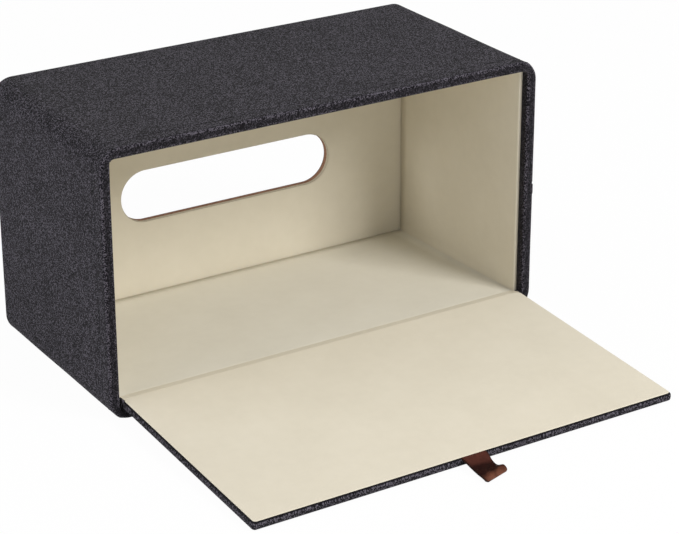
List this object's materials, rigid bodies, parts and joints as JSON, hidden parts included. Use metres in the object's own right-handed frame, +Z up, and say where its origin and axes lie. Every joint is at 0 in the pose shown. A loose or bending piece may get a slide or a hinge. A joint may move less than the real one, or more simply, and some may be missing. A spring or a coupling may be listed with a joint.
{
  "type": "tissue box cover",
  "caption": "Cloth-covered rectangular tissue box on its side, with a round-ended tissue slot and a hinged inset flap with a leather pull tab.",
  "frame": {"origin": "middle of the side that the box lies on, at the surface it rests on", "axes": "+Z up, +X along the box to the right seen from its open side, +Y from the open side to the panel with the tissue slot"},
  "size_m": [0.2503, 0.2666, 0.14],
  "materials": {
    "linen": "charcoal linen weave",
    "suede": "beige suede-like lining",
    "board": "raw brown fibreboard",
    "card": "grey-brown bookbinding card",
    "leather": "smooth dark brown leather",
    "magnet": "nickel plated"
  },
  "bodies": {
    "shell": {"back_liner_board": "card", "back_lining": "suede", "bottom_wall_board": "board", "corner_posts": "board", "floor_liner_card": "card", "floor_lining": "suede", "hinge_batten": "board", "hinge_cloth": "linen", "hinge_lining": "suede", "left_liner_board": "card", "left_lining": "suede", "left_wall_board": "board", "outer_cloth": "linen", "right_liner_board": "card", "right_lining": "suede", "right_wall_board": "board", "slot_panel_board": "board", "slot_panel_cloth": "linen", "top_liner_board": "card", "top_lining": "suede", "top_wall_board": "board", "wall_magnets": "magnet"},
    "flap": {"flap_board": "board", "flap_cloth": "linen", "flap_filler_card": "card", "flap_lining": "suede", "flap_magnets": "magnet", "pull_tab_root": "leather"},
    "pull_tab": {"pull_tab": "leather"}
  },
  "joints": [
    {"name": "flap_hinge", "type": "hinge", "parent": "shell", "child": "flap", "pos_m": [0, -0.06021, 0.00624], "axis": [-1, 0, 0], "range_deg": [0, 92.8], "deforming": ["hinge_cloth", "hinge_lining"]},
    {"name": "pull_tab_bend", "type": "hinge", "parent": "flap", "child": "pull_tab", "pos_m": [0, -0.18741, 0.00404], "axis": [-1, 0, 0], "range_deg": [-92.8, 0]}
  ],
  "couplings": [
    {"joint": "pull_tab_bend", "follows": "flap_hinge", "ratio": -1}
  ]
}
